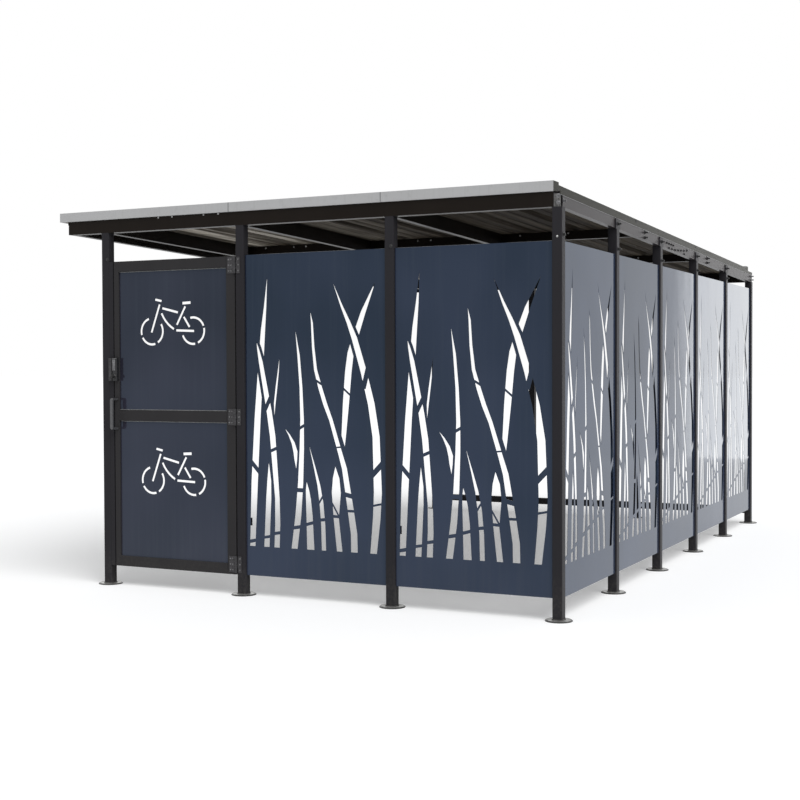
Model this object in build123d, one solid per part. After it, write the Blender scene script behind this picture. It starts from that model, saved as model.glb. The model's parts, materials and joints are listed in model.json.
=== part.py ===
"""Modular steel bike shelter with reed-cut panels, a hinged door and an open back and left side.

Millimetres. +X runs to the right along the front, +Y towards the back, +Z up.
The origin is under the centre of the front left post, on the ground.
"""
import math
import os

from build123d import *

# Square posts and the module that they set out
POST = 60.0
POST_WALL = 3.0
POST_CORNER = 5.0
PANEL_WIDTH = 1000.0
PANEL_GAP = 1.0
FRONT_BAYS = 3
SIDE_BAYS = 5

# Feet under the posts
FOOT_DIAMETER = 160.0
FOOT_THICKNESS = 8.0
FOOT_BEVEL = 4.0
FOOT_BEVEL_RUN = 6.4

# Folded sheet panels
PANEL_BOTTOM = 130.0
PANEL_HEIGHT = 2040.0
SHEET = 2.0
FLANGE_DEPTH = 24.0
FRONT_INSET = 18.0
SIDE_INSET = 12.0
CLEAT_LEG = 28.0
CLEAT_THICKNESS = 3.0
CLEAT_HEIGHT = 50.0
CLEAT_SETBACK = 1.0
CLEATS_PER_EDGE = 3

# Low rail between the back posts
RAIL_BOTTOM = 90.0
RAIL_HEIGHT = 60.0
RAIL_DEPTH = 40.0

# Roof frame
BEAM_CLEARANCE = 190.0
BEAM_HEIGHT = 90.0
BEAM_WIDTH = 60.0
BEAM_WALL = 3.0
RAFTER_WIDTH = 40.0
EDGE_BEAM_HEIGHT = 90.0
PURLIN_HEIGHT = 60.0
PURLIN_WIDTH = 40.0
PURLIN_ROWS = 2
ROOF_FALL_DEG = 1.4
LEFT_OVERHANG = 305.0
RIGHT_END_INSET = 20.0
CAP_THICKNESS = 2.0
HEAD_PLATE = 4.0
LUG_WIDTH = 90.0
LUG_THICKNESS = 8.0
LUG_HEIGHT = 60.0
BRACKET_THICKNESS = 5.0
BRACKET_HEIGHT = 75.0
CORNER_LAP = 25.0

# Corrugated roof sheet and its edge strips
RIB_PITCH = 1000.0 / 3.0
RIB_HEIGHT = 39.0
RIB_CREST = 28.0
RIB_BASE = 82.0
ROOF_SHEET = 0.75
CREASE_WIDTH = 24.0
CREASE_HEIGHT = 4.0
RIB_EDGE = 20.0
SHEET_OVERHANG = 12.0
TRIM_HEIGHT = 60.0
TRIM_SHEET = 1.5
TRIM_LAP = 90.0
TRIM_STANDOFF = 14.0
TRIM_BELOW_BEAM_TOP = 3.0
TRIM_BESIDE_BEAM = 64.0
TRIM_PAST_CAP = 2.0
TRIM_FIT = 1.0
TRIM_SEAM = 1.5
FIRST_SEAM_BEFORE_POST = 74.0
SECOND_SEAM_BEFORE_POST = 51.0
FLASHING_LAP = 115.0

# Door
DOOR_BOTTOM = 130.0
DOOR_HEIGHT = 2035.0
DOOR_DEPTH = 40.0
JAMB_WIDTH = 32.0
JAMB_DEPTH = 40.0
STOP_REACH = 22.0
STOP_THICKNESS = 4.0
DOOR_CLEARANCE = 7.0
LOCK_STILE = 38.0
HINGE_STILE = 65.0
DOOR_RAIL = 68.0
MIDDLE_RAIL_CENTRE = 1139.0
DOOR_WALL = 2.0
DOOR_SHEET_RECESS = 12.0
DOOR_SHEET_LIP = 14.0

# Bicycle mark cut through both door sheets, measured from the middle of its axle line
MARK_RISE = 61.0
MARK_STROKE = 14.0
WHEEL_SPACING = 326.0
WHEEL_RADIUS = 86.0
LEFT_WHEEL_ARCS = [(107.0, 195.0), (208.0, 287.0), (302.0, 393.0)]
RIGHT_WHEEL_ARCS = [(21.0, 105.0), (-65.0, 11.0), (200.0, 280.0)]
MARK_BARS = {
    "handlebar": [(-136, 209), (-85, 198)],
    "fork": [(-101, 176), (-167, -7)],
    "top_tube": [(-80, 151), (44, 121)],
    "seat_tube": [(102, 159), (35, 40)],
    "seat_stay": [(90, 91), (135, 24)],
    "chain_stay": [(30, 4), (170, -2)],
}
SADDLE = [(80, 180), (144, 183)]
SADDLE_STROKE = 17.0
DOWN_TUBE = [(-86, 118), (-38, 50), (12, 13)]

# Hinges, lock and handle
HINGE_HEIGHT = 104.0
HINGE_LEAF = 3.0
HINGE_PLATE_DOOR = 52.0
HINGE_PLATE_POST = 30.0
KNUCKLE_RADIUS = 7.0
PIN_RADIUS = 4.0
PIN_CLEARANCE = 0.1
PIN_END = 2.0
KNUCKLE_GAP = 1.0
HINGE_TOP_INSET = 5.0
HINGE_BOTTOM_INSET = 13.0
LOCK_BOTTOM = 1370.0
LOCK_HEIGHT = 152.0
LOCK_WIDTH = 36.0
LOCK_DEPTH = 26.0
LOCK_CORNER = 6.0
LOCK_INSET = 1.0
KEEPER_WIDTH = 26.0
KEEPER_DEPTH = 18.0
KEEPER_CORNER = 4.0
KEEPER_INSET = 2.0
HANDLE_BOTTOM = 1045.0
HANDLE_HEIGHT = 210.0
HANDLE_REACH = 62.0
HANDLE_BAR = 22.0
HANDLE_GRIP = 12.0
HANDLE_LEG = 14.0
HANDLE_CORNER = 18.0

# Reed blades, each a row of (across, up, width) from its foot to its tip, measured from the lower
# left corner of a panel of the drawn size seen from outside, and fitted to the real panel
DRAWN_WIDTH = 1000.0
DRAWN_HEIGHT = 2040.0
BLADES = {
    "left": [(45, 188, 40), (62, 600, 48), (86, 1000, 45), (117, 1400, 38), (130, 1560, 32), (147, 1710, 18),
             (163, 1900, 0)],
    "leaning": [(225, 188, 39), (231, 340, 38), (229, 500, 34), (197, 890, 41), (172, 1050, 38),
                (112, 1360, 29), (92, 1445, 14), (82, 1485, 0)],
    "sliver": [(210, 1015, 0), (214, 1100, 13), (227, 1200, 13), (241, 1300, 9), (250, 1388, 0)],
    "low_left": [(150, 188, 39), (166, 500, 38), (170, 610, 29), (168, 728, 0)],
    "middle": [(353, 188, 44), (382, 400, 43), (399, 600, 38), (409, 820, 32), (412, 1000, 26),
               (405, 1200, 21), (389, 1400, 18), (366, 1560, 0)],
    "low_spear": [(470, 188, 52), (462, 400, 45), (455, 500, 36), (448, 560, 24), (443, 612, 0)],
    "leaf": [(368, 688, 0), (365, 750, 21), (363, 797, 30), (347, 850, 23), (318, 902, 11), (287, 942, 0)],
    "low_middle": [(564, 188, 31), (560, 340, 30), (548, 480, 28), (530, 590, 21), (501, 700, 12),
                   (460, 845, 0)],
    "low_right": [(675, 188, 39), (652, 390, 37), (653, 550, 64), (652, 640, 46), (647, 713, 0)],
    "long": [(778, 188, 46), (776, 300, 45), (753, 450, 43), (711, 700, 35), (680, 800, 29), (617, 1000, 25),
             (576, 1100, 28), (542, 1200, 27), (510, 1310, 22), (494, 1450, 18), (486, 1600, 14),
             (474, 1672, 0)],
    "right_middle": [(714, 836, 0), (707, 905, 32), (723, 1100, 43), (741, 1300, 46), (757, 1410, 44),
                     (790, 1510, 40), (845, 1660, 32), (884, 1745, 18), (930, 1845, 0)],
    "right": [(910, 188, 45), (932, 400, 52), (941, 560, 55), (930, 900, 49), (898, 1100, 46),
              (846, 1300, 42), (784, 1500, 38), (743, 1600, 26), (696, 1700, 15), (636, 1845, 0)],
}
# A blade is interrupted by a rim where another passes in front of it
BLADE_RIM = 19.0
BEHIND = [("left", "leaning"), ("right_middle", "right")]
# Bridges of sheet left across a blade: (place across, up, slope in degrees, width)
BRIDGE_LENGTH = 140.0
BRIDGES = {
    "left": [(46, 221, 12, 22), (66, 695, -47, 27)],
    "leaning": [(228, 279, 10, 20), (203, 806, 23, 20), (163, 1098, 63, 26)],
    "low_left": [(156, 252, 10, 18)],
    "middle": [(372, 323, 10, 22), (398, 557, 0, 26), (411, 954, 29, 18)],
    "low_spear": [(470, 352, 15, 20)],
    "low_middle": [(559, 379, 8, 20), (543, 501, 58, 12)],
    "low_right": [(650, 403, -3, 18), (645, 449, -59, 10)],
    "long": [(757, 441, 0, 16), (738, 537, -12, 28), (663, 831, 5, 10), (532, 1232, -30, 14)],
    "right_middle": [(722, 1180, -40, 12)],
    "right": [(939, 487, 12, 13), (938, 703, 46, 34), (862, 1262, 75, 32)],
}

# Places worked out from the sizes above
MODULE = POST + PANEL_WIDTH + 2 * PANEL_GAP
HALF = POST / 2
LENGTH_X = FRONT_BAYS * MODULE
LENGTH_Y = SIDE_BAYS * MODULE
FALL = math.tan(math.radians(ROOF_FALL_DEG))
DOOR_TOP = DOOR_BOTTOM + DOOR_HEIGHT
BEAM_BOTTOM = max(PANEL_BOTTOM + PANEL_HEIGHT, DOOR_TOP) + BEAM_CLEARANCE
BEAM_TOP = BEAM_BOTTOM + BEAM_HEIGHT
LEFT_END = -LEFT_OVERHANG
RIGHT_END = LENGTH_X - RIGHT_END_INSET
SIDE_SHIFT = HALF - LUG_THICKNESS - RAFTER_WIDTH / 2
LEFT_LINE = -SIDE_SHIFT
RIGHT_LINE = LENGTH_X + SIDE_SHIFT
TRIM_LEFT = LEFT_END - TRIM_BESIDE_BEAM
TRIM_RIGHT = RIGHT_END + CAP_THICKNESS + TRIM_PAST_CAP
POST_FACE = -HALF
TRIM_FACE = -BEAM_WIDTH / 2 - TRIM_STANDOFF
BACK_FACE = LENGTH_Y + BEAM_WIDTH / 2
BACK_TRIM_FACE = BACK_FACE + TRIM_STANDOFF
CREST = RIB_HEIGHT + ROOF_SHEET
FLASHING_HEIGHT = CREST + TRIM_SHEET

DOOR_LEFT = HALF + JAMB_WIDTH + DOOR_CLEARANCE
DOOR_RIGHT = MODULE - HALF - DOOR_CLEARANCE - PANEL_GAP
HINGE_X = (DOOR_RIGHT + MODULE - HALF) / 2
HINGE_Y = POST_FACE - KNUCKLE_RADIUS
HINGE_STARTS = [DOOR_BOTTOM + HINGE_BOTTOM_INSET, MIDDLE_RAIL_CENTRE - HINGE_HEIGHT / 2,
                DOOR_TOP - HINGE_TOP_INSET - HINGE_HEIGHT]


def roof_line(y):
    """Height of the roof frame's top at a distance from the front."""
    return BEAM_TOP - FALL * (y - BEAM_WIDTH / 2)


def block(x0, x1, y0, y1, z0, z1):
    """A plain box between two corners."""
    return Pos(x0, y0, z0) * Box(x1 - x0, y1 - y0, z1 - z0, align=(Align.MIN, Align.MIN, Align.MIN))


def square_tube(width, depth, length, wall, corner):
    """An upright tube, centred on its axis, from z = 0, with square corners inside."""
    outer = RectangleRounded(width, depth, corner)
    inner = Rectangle(width - 2 * wall, depth - 2 * wall)
    return extrude(outer - inner, length)


def level_tube(x0, x1, y0, y1, z0, z1, wall):
    """A level tube along X, open at its ends."""
    outer = block(x0, x1, y0, y1, z0, z1)
    inner = block(x0 - 1, x1 + 1, y0 + wall, y1 - wall, z0 + wall, z1 - wall)
    return outer - inner


def sloped_bar(x_centre, width, y0, y1, drop_top, drop_bottom):
    """A bar along Y that follows the roof's fall, between two depths under its top."""
    corners = [(y0, roof_line(y0) - drop_top), (y1, roof_line(y1) - drop_top),
               (y1, roof_line(y1) - drop_bottom), (y0, roof_line(y0) - drop_bottom)]
    outline = Plane.YZ * make_face(Polyline(*corners, close=True))
    return Pos(x_centre - width / 2, 0, 0) * extrude(outline, width, dir=(1, 0, 0))


def sloped_tube(x_centre, y0, y1, height):
    """A rafter: a hollow bar that follows the roof's fall."""
    outer = sloped_bar(x_centre, RAFTER_WIDTH, y0, y1, 0, height)
    inner = sloped_bar(x_centre, RAFTER_WIDTH - 2 * BEAM_WALL, y0 - 1, y1 + 1, BEAM_WALL, height - BEAM_WALL)
    return outer - inner


def post(x, y, top, lug_side=0):
    """A post with its head plate, and beside a side beam the lug that laps the beam."""
    tube = Pos(x, y, FOOT_THICKNESS) * square_tube(POST, POST, top - HEAD_PLATE - FOOT_THICKNESS, POST_WALL,
                                                  POST_CORNER)
    shape = tube + block(x - HALF, x + HALF, y - HALF, y + HALF, top - HEAD_PLATE, top)
    if lug_side:
        outer = x + lug_side * HALF
        inner = outer - lug_side * LUG_THICKNESS
        half_lug = LUG_WIDTH / 2
        shape += block(min(outer, inner), max(outer, inner), y - half_lug, y + half_lug, top - HEAD_PLATE,
                       top + LUG_HEIGHT)
    return shape


def foot_plate(x, y):
    """A round plate with a bevelled rim under a post."""
    disc = Cylinder(FOOT_DIAMETER / 2, FOOT_THICKNESS, align=(Align.CENTER, Align.CENTER, Align.MIN))
    rim = disc.edges().filter_by(GeomType.CIRCLE).sort_by(Axis.Z)[-1]
    return Pos(x, y, 0) * chamfer(rim, FOOT_BEVEL, FOOT_BEVEL_RUN)


def blade_outline(rows, extra=0.0):
    """A tapered blade as a face: its two edges stand half a width each side of its middle line."""
    left, right = [], []
    for index, (x, z, width) in enumerate(rows):
        before = rows[max(index - 1, 0)]
        after = rows[min(index + 1, len(rows) - 1)]
        run_x, run_z = after[0] - before[0], after[1] - before[1]
        run = math.hypot(run_x, run_z)
        half = width / 2 + extra
        if index == 0:
            across, up = 1.0, 0.0
        else:
            across, up = run_z / run, -run_x / run
        if half:
            left.append((x - across * half, z - up * half))
            right.append((x + across * half, z + up * half))
        else:
            left.append((x, z))
    return make_face(Polyline(*(left + right[::-1]), close=True))


def reed_cutouts():
    """Every opening of one panel, drawn flat: blades less their rims and bridges."""
    wide, tall = PANEL_WIDTH / DRAWN_WIDTH, PANEL_HEIGHT / DRAWN_HEIGHT
    fitted = {name: [(x * wide, z * tall, width * wide) for x, z, width in rows]
              for name, rows in BLADES.items()}
    openings = []
    for name, rows in fitted.items():
        shape = blade_outline(rows)
        for behind, front in BEHIND:
            if behind == name:
                shape -= blade_outline(fitted[front], BLADE_RIM)
        for x, z, slope, width in BRIDGES.get(name, []):
            shape -= Pos(x * wide, z * tall) * Rot(0, 0, slope) * Rectangle(BRIDGE_LENGTH, width)
        openings.append(shape)
    return openings


def reed_panel():
    """A folded panel seen from outside: face towards -Y, flanges to the back, lower left corner at 0."""
    tray = block(0, PANEL_WIDTH, 0, FLANGE_DEPTH, 0, PANEL_HEIGHT)
    tray -= block(SHEET, PANEL_WIDTH - SHEET, SHEET, FLANGE_DEPTH + 1, SHEET, PANEL_HEIGHT - SHEET)
    for opening in reed_cutouts():
        for face in opening.faces():
            tray -= extrude(Plane.XZ * face, 4 * SHEET, both=True)
    return tray


def roof_profile():
    """Section of the corrugated sheet: ribs set out evenly, with two creases in each pan between them."""
    first = TRIM_LEFT + TRIM_SHEET
    last = TRIM_RIGHT - TRIM_SHEET
    ribs = math.floor((last - first - RIB_BASE - 2 * RIB_EDGE) / RIB_PITCH) + 1
    margin = (last - first - (ribs - 1) * RIB_PITCH) / 2
    line = [(first, 0)]
    for index in range(ribs):
        centre = first + margin + index * RIB_PITCH
        line += [(centre - RIB_BASE / 2, 0), (centre - RIB_CREST / 2, RIB_HEIGHT),
                 (centre + RIB_CREST / 2, RIB_HEIGHT), (centre + RIB_BASE / 2, 0)]
        if index < ribs - 1:
            for share in (1 / 3, 2 / 3):
                middle = centre + RIB_PITCH * share
                line += [(middle - CREASE_WIDTH / 2, 0), (middle - CREASE_WIDTH / 4, CREASE_HEIGHT),
                         (middle + CREASE_WIDTH / 4, CREASE_HEIGHT), (middle + CREASE_WIDTH / 2, 0)]
    line.append((last, 0))
    upper = [(x, z + ROOF_SHEET) for x, z in reversed(line)]
    return make_face(Polyline(*(line + upper), close=True))


def roof_sheet():
    """The corrugated sheet, laid on the frame with its ribs down the fall."""
    y0 = -BEAM_WIDTH / 2 - SHEET_OVERHANG
    y1 = BACK_FACE + SHEET_OVERHANG
    along = Vector(0, y1 - y0, -FALL * (y1 - y0))
    outline = Pos(0, y0, roof_line(y0)) * (Plane.XZ * roof_profile())
    return extrude(outline, along.length, dir=along.normalized())


def edge_strip(x0, x1, beam_face, outward):
    """A folded strip along X: a face, a lip that meets the beam, and a flange that steps down to the ribs."""
    face_y = beam_face + outward * TRIM_STANDOFF
    back = face_y - outward * TRIM_SHEET
    deep = face_y - outward * TRIM_LAP
    step = deep + outward * TRIM_SHEET
    low = roof_line(max(-outward, 0) * BEAM_WIDTH / 2 + max(outward, 0) * BACK_FACE) - TRIM_BELOW_BEAM_TOP
    top = low + TRIM_HEIGHT
    crest = roof_line(min(deep, step)) + FLASHING_HEIGHT
    face = block(x0, x1, min(face_y, back), max(face_y, back), low, top)
    flange = block(x0, x1, min(face_y, deep), max(face_y, deep), top - TRIM_SHEET, top)
    turned = block(x0, x1, min(deep, step), max(deep, step), crest, top)
    fit = TRIM_SHEET + TRIM_FIT
    lip = block(x0 + fit, x1 - fit, min(face_y, beam_face), max(face_y, beam_face), low, low + TRIM_SHEET)
    return face + flange + turned + lip


def front_fascia():
    """The front strip in lengths, with narrow seams near the post lines."""
    seams = [MODULE - FIRST_SEAM_BEFORE_POST, 2 * MODULE - SECOND_SEAM_BEFORE_POST]
    ends = [TRIM_LEFT] + seams + [TRIM_RIGHT]
    starts = [TRIM_LEFT] + [seam + TRIM_SEAM for seam in seams]
    return [edge_strip(x0, x1, -BEAM_WIDTH / 2, -1) for x0, x1 in zip(starts, ends[1:])]


def side_flashing(x_face, inward):
    """A folded strip down the roof's side: a face beside the sheet and a flange on its outer rib."""
    y0 = TRIM_FACE + TRIM_SHEET + TRIM_FIT
    y1 = BACK_TRIM_FACE - TRIM_SHEET - TRIM_FIT
    face = sloped_bar(x_face + inward * TRIM_SHEET / 2, TRIM_SHEET, y0, y1, -FLASHING_HEIGHT, 0)
    flange = sloped_bar(x_face + inward * FLASHING_LAP / 2, FLASHING_LAP, TRIM_FACE + TRIM_LAP + TRIM_FIT,
                        BACK_TRIM_FACE - TRIM_LAP - TRIM_FIT, -FLASHING_HEIGHT, -CREST)
    return face + flange


def purlin_row(y):
    """Level tubes between the rafters at one distance from the front."""
    lines = [LEFT_END + RAFTER_WIDTH / 2, LEFT_LINE]
    lines += [bay * MODULE for bay in range(1, FRONT_BAYS)]
    lines.append(RIGHT_LINE)
    top = roof_line(y + PURLIN_WIDTH / 2)
    half = RAFTER_WIDTH / 2
    front, back = y - PURLIN_WIDTH / 2, y + PURLIN_WIDTH / 2
    return [level_tube(x0 + half, x1 - half, front, back, top - PURLIN_HEIGHT, top, BEAM_WALL)
            for x0, x1 in zip(lines, lines[1:])]


def corner_bracket(y_face, inward, bottom):
    """A plate on a right corner post that ties the end of the level beam to the side beam."""
    x0 = RIGHT_END + CAP_THICKNESS
    x1 = LENGTH_X + HALF - LUG_THICKNESS
    back = y_face + inward * BRACKET_THICKNESS
    return block(x0, x1, min(y_face, back), max(y_face, back), bottom, bottom + BRACKET_HEIGHT)


def cleats(place, bays, inset):
    """Small angles that hold the panels' flanges to the posts, three up each edge."""
    back = -HALF + inset + FLANGE_DEPTH
    solids = []
    step = PANEL_HEIGHT / CLEATS_PER_EDGE
    for bay in bays:
        for edge, turn in ((HALF, 1), (MODULE - HALF, -1)):
            x_post = bay * MODULE + edge
            for row in range(CLEATS_PER_EDGE):
                z = PANEL_BOTTOM + step * (row + 0.5) - CLEAT_HEIGHT / 2
                x_end = x_post + turn * CLEAT_LEG
                x_leg = x_post + turn * CLEAT_THICKNESS
                wing = block(min(x_post, x_end), max(x_post, x_end), back, back + CLEAT_THICKNESS, z,
                             z + CLEAT_HEIGHT)
                leg = block(min(x_post, x_leg), max(x_post, x_leg), back, HALF - CLEAT_SETBACK, z,
                            z + CLEAT_HEIGHT)
                solids.append(place * (wing + leg))
    return solids


def door_jamb():
    """The lock side jamb: a strip on the post with a stop lip behind the leaf."""
    y_back = POST_FACE + JAMB_DEPTH + DOOR_CLEARANCE
    strip = block(HALF, HALF + JAMB_WIDTH, POST_FACE, y_back + STOP_THICKNESS, DOOR_BOTTOM, DOOR_TOP)
    strip -= block(HALF + DOOR_WALL, HALF + JAMB_WIDTH - DOOR_WALL, POST_FACE + DOOR_WALL, y_back - DOOR_WALL,
                   DOOR_BOTTOM - 1, DOOR_TOP + 1)
    lip_start = HALF + JAMB_WIDTH
    lip = block(lip_start, lip_start + STOP_REACH, y_back, y_back + STOP_THICKNESS, DOOR_BOTTOM, DOOR_TOP)
    return strip + lip


def stile(x0, width):
    """An upright tube of the door leaf, from bottom to top."""
    tube = square_tube(width, DOOR_DEPTH, DOOR_HEIGHT, DOOR_WALL, DOOR_WALL + 1)
    return Pos(x0 + width / 2, POST_FACE + DOOR_DEPTH / 2, DOOR_BOTTOM) * tube


def door_rails():
    """Bottom, middle and top tubes between the stiles."""
    x0 = DOOR_LEFT + LOCK_STILE
    x1 = DOOR_RIGHT - HINGE_STILE
    middle = MIDDLE_RAIL_CENTRE - DOOR_RAIL / 2
    return [level_tube(x0, x1, POST_FACE, POST_FACE + DOOR_DEPTH, z, z + DOOR_RAIL, DOOR_WALL)
            for z in (DOOR_BOTTOM, middle, DOOR_TOP - DOOR_RAIL)]


def stroke(start, end, width):
    """A straight stroke of the mark between two points, drawn flat."""
    run = math.hypot(end[0] - start[0], end[1] - start[1])
    slope = math.degrees(math.atan2(end[1] - start[1], end[0] - start[0]))
    return Pos((start[0] + end[0]) / 2, (start[1] + end[1]) / 2) * Rot(0, 0, slope) * Rectangle(run, width)


def ring_stroke(centre, radius, start, end):
    """A stroke of the mark along a circle, between two angles in degrees."""
    def at(distance, angle):
        turn = math.radians(angle)
        return centre[0] + distance * math.cos(turn), centre[1] + distance * math.sin(turn)
    inner, outer = radius - MARK_STROKE / 2, radius + MARK_STROKE / 2
    middle = (start + end) / 2
    edges = [ThreePointArc(at(outer, start), at(outer, middle), at(outer, end)),
             Line(at(outer, end), at(inner, end)),
             ThreePointArc(at(inner, end), at(inner, middle), at(inner, start)),
             Line(at(inner, start), at(outer, start))]
    return make_face(Wire(edges))


def bent_stroke(first, middle, last):
    """A stroke of the mark along the arc through three points."""
    arc = ThreePointArc(first, middle, last)
    centre = arc.arc_center
    angles = [math.degrees(math.atan2(y - centre.Y, x - centre.X)) for x, y in (first, last)]
    return ring_stroke((centre.X, centre.Y), arc.radius, *angles)


def bicycle_mark():
    """The bicycle as separate strokes with bridges of sheet between them, drawn flat."""
    strokes = [stroke(start, end, MARK_STROKE) for start, end in MARK_BARS.values()]
    strokes += [stroke(*SADDLE, SADDLE_STROKE), bent_stroke(*DOWN_TUBE)]
    for side, arcs in ((-1, LEFT_WHEEL_ARCS), (1, RIGHT_WHEEL_ARCS)):
        axle = (side * WHEEL_SPACING / 2, 0)
        strokes += [ring_stroke(axle, WHEEL_RADIUS, start, end) for start, end in arcs]
    return strokes


def door_sheet(z0, z1):
    """A folded sheet in one field of the leaf, with a lip all round and the bicycle cut through it."""
    x0 = DOOR_LEFT + LOCK_STILE
    x1 = DOOR_RIGHT - HINGE_STILE
    y0 = POST_FACE + DOOR_SHEET_RECESS
    tray = block(x0, x1, y0, y0 + DOOR_SHEET_LIP, z0, z1)
    tray -= block(x0 + SHEET, x1 - SHEET, y0 + SHEET, y0 + DOOR_SHEET_LIP + 1, z0 + SHEET, z1 - SHEET)
    place = Pos((x0 + x1) / 2, y0, (z0 + z1) / 2 + MARK_RISE)
    for mark in bicycle_mark():
        tray -= place * extrude(Plane.XZ * mark, 2 * SHEET, both=True)
    return tray


def hinge_knuckle(z0, z1, radius, bore):
    """A length of hinge barrel on the door's axis."""
    barrel = Cylinder(radius, z1 - z0, align=(Align.CENTER, Align.CENTER, Align.MIN))
    if bore:
        barrel -= Pos(0, 0, -1) * Cylinder(bore, z1 - z0 + 2, align=(Align.CENTER, Align.CENTER, Align.MIN))
    return Pos(HINGE_X, HINGE_Y, z0) * barrel


def hinge_door_leaf(z0):
    """The plate on the leaf with the two outer knuckles."""
    third = HINGE_HEIGHT / 3
    y1 = POST_FACE
    x1 = HINGE_X - PIN_RADIUS - KNUCKLE_GAP
    plate = block(DOOR_RIGHT - HINGE_PLATE_DOOR, x1, y1 - HINGE_LEAF, y1, z0, z0 + HINGE_HEIGHT)
    bore = PIN_RADIUS + PIN_CLEARANCE
    for low in (z0, z0 + 2 * third):
        knuckle = hinge_knuckle(low, low + third, KNUCKLE_RADIUS, bore)
        web = block(HINGE_X - 2 * KNUCKLE_RADIUS, x1, HINGE_Y, y1, low, low + third)
        plate += knuckle + web
    reach = KNUCKLE_RADIUS + KNUCKLE_GAP
    slot = block(HINGE_X - reach, HINGE_X + reach, HINGE_Y - reach, y1 + 1, z0 + third, z0 + 2 * third)
    return plate - slot


def hinge_post_leaf(z0):
    """The plate on the post with the middle knuckle and the pin."""
    third = HINGE_HEIGHT / 3
    y1 = POST_FACE
    x0 = HINGE_X + KNUCKLE_RADIUS + KNUCKLE_GAP
    plate = block(x0, x0 + HINGE_PLATE_POST, y1 - HINGE_LEAF, y1, z0, z0 + HINGE_HEIGHT)
    low, high = z0 + third + KNUCKLE_GAP, z0 + 2 * third - KNUCKLE_GAP
    arm = block(HINGE_X, x0 + HINGE_LEAF, y1 - HINGE_LEAF, y1, low, high)
    pin = hinge_knuckle(z0 - PIN_END, z0 + HINGE_HEIGHT + PIN_END, PIN_RADIUS, 0)
    return plate + arm + hinge_knuckle(low, high, KNUCKLE_RADIUS, 0) + pin


def lock_case():
    """The lock's case on the lock stile, with a rounded front."""
    case = Box(LOCK_WIDTH, LOCK_DEPTH, LOCK_HEIGHT, align=(Align.MIN, Align.MAX, Align.MIN))
    front = case.edges().filter_by(Axis.Z).group_by(Axis.Y)[0]
    return Pos(DOOR_LEFT + LOCK_INSET, POST_FACE, LOCK_BOTTOM) * fillet(front, LOCK_CORNER)


def lock_keeper():
    """The keeper on the jamb beside the lock."""
    case = Box(KEEPER_WIDTH, KEEPER_DEPTH, LOCK_HEIGHT, align=(Align.MIN, Align.MAX, Align.MIN))
    front = case.edges().filter_by(Axis.Z).group_by(Axis.Y)[0]
    return Pos(HALF + KEEPER_INSET, POST_FACE, LOCK_BOTTOM) * fillet(front, KEEPER_CORNER)


def pull_handle():
    """An upright D handle on the lock stile."""
    x0 = DOOR_LEFT + (LOCK_STILE - HANDLE_BAR) / 2
    top = HANDLE_BOTTOM + HANDLE_HEIGHT
    grip_y = POST_FACE - HANDLE_REACH
    bow = block(x0, x0 + HANDLE_BAR, grip_y, POST_FACE, HANDLE_BOTTOM, top)
    hole = block(x0 - 1, x0 + HANDLE_BAR + 1, grip_y + HANDLE_GRIP, POST_FACE + 1, HANDLE_BOTTOM + HANDLE_LEG,
                 top - HANDLE_LEG)
    corners = bow.edges().filter_by(Axis.X).group_by(Axis.Y)[0]
    return fillet(corners, HANDLE_CORNER) - hole


def write(name, shape):
    """One file for each node."""
    if isinstance(shape, list):
        shape = Compound(children=shape)
    export_step(shape, f"parts/{name}.step")


os.makedirs("parts", exist_ok=True)

front_posts = [(bay * MODULE, 0) for bay in range(FRONT_BAYS + 1)]
right_posts = [(LENGTH_X, bay * MODULE) for bay in range(1, SIDE_BAYS)]
back_posts = [(bay * MODULE, LENGTH_Y) for bay in range(FRONT_BAYS + 1)]
back_beam_top = roof_line(BACK_FACE)
back_beam_bottom = back_beam_top - BEAM_HEIGHT

for number, (x, y) in enumerate(front_posts, 1):
    write(f"post_front_{number}", post(x, y, BEAM_BOTTOM))
for number, (x, y) in enumerate(right_posts, 1):
    write(f"post_right_{number}", post(x, y, roof_line(y + HALF) - BEAM_HEIGHT, 1))
write("posts_back", [post(x, y, back_beam_bottom) for x, y in back_posts])
write("foot_plates", [foot_plate(x, y) for x, y in front_posts + right_posts + back_posts])

panel = reed_panel()
panel_start = HALF + PANEL_GAP
for bay in range(1, FRONT_BAYS):
    write(f"panel_front_{bay}", Pos(bay * MODULE + panel_start, FRONT_INSET - HALF, PANEL_BOTTOM) * panel)
for bay in range(SIDE_BAYS):
    place = Pos(LENGTH_X, bay * MODULE, 0) * Rot(0, 0, 90) * Pos(panel_start, SIDE_INSET - HALF, PANEL_BOTTOM)
    write(f"panel_right_{bay + 1}", place * panel)
write("panel_cleats", cleats(Pos(0, 0, 0), range(1, FRONT_BAYS), FRONT_INSET)
      + cleats(Pos(LENGTH_X, 0, 0) * Rot(0, 0, 90), range(SIDE_BAYS), SIDE_INSET))
write("rails_back", [level_tube(bay * MODULE + HALF, (bay + 1) * MODULE - HALF, LENGTH_Y - RAIL_DEPTH / 2,
                                LENGTH_Y + RAIL_DEPTH / 2, RAIL_BOTTOM, RAIL_BOTTOM + RAIL_HEIGHT, BEAM_WALL)
                     for bay in range(FRONT_BAYS)])

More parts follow.
